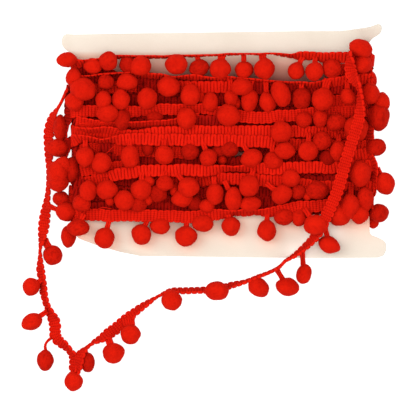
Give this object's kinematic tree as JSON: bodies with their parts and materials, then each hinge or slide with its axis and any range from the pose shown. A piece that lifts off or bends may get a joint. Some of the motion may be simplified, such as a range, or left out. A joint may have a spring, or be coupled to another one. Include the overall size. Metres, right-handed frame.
{
  "type": "pompom fringe trim wound on a card",
  "caption": "Pompom fringe trim: ribbed gimp braid with hanging pompoms, wound flat round the waist of an eared card, with a slack turn lying loose beside it.",
  "frame": {"origin": "centre of the underside of the card and the winding, on the surface that the winding lies on, without the slack turn", "axes": "+X along the winding's length, towards the bent upper ear's side; +Y up the card, away from the hanging pompoms; +Z out of the winding's front"},
  "size_m": [0.2469, 0.2443, 0.0397],
  "materials": {
    "yarn": "matte red spun yarn, ribbed gimp braid and brushed pompoms",
    "board": "uncoated cream card"
  },
  "bodies": {
    "root": {"card": "board", "wound_trim": "yarn", "slack_turn": "yarn"}
  },
  "joints": []
}
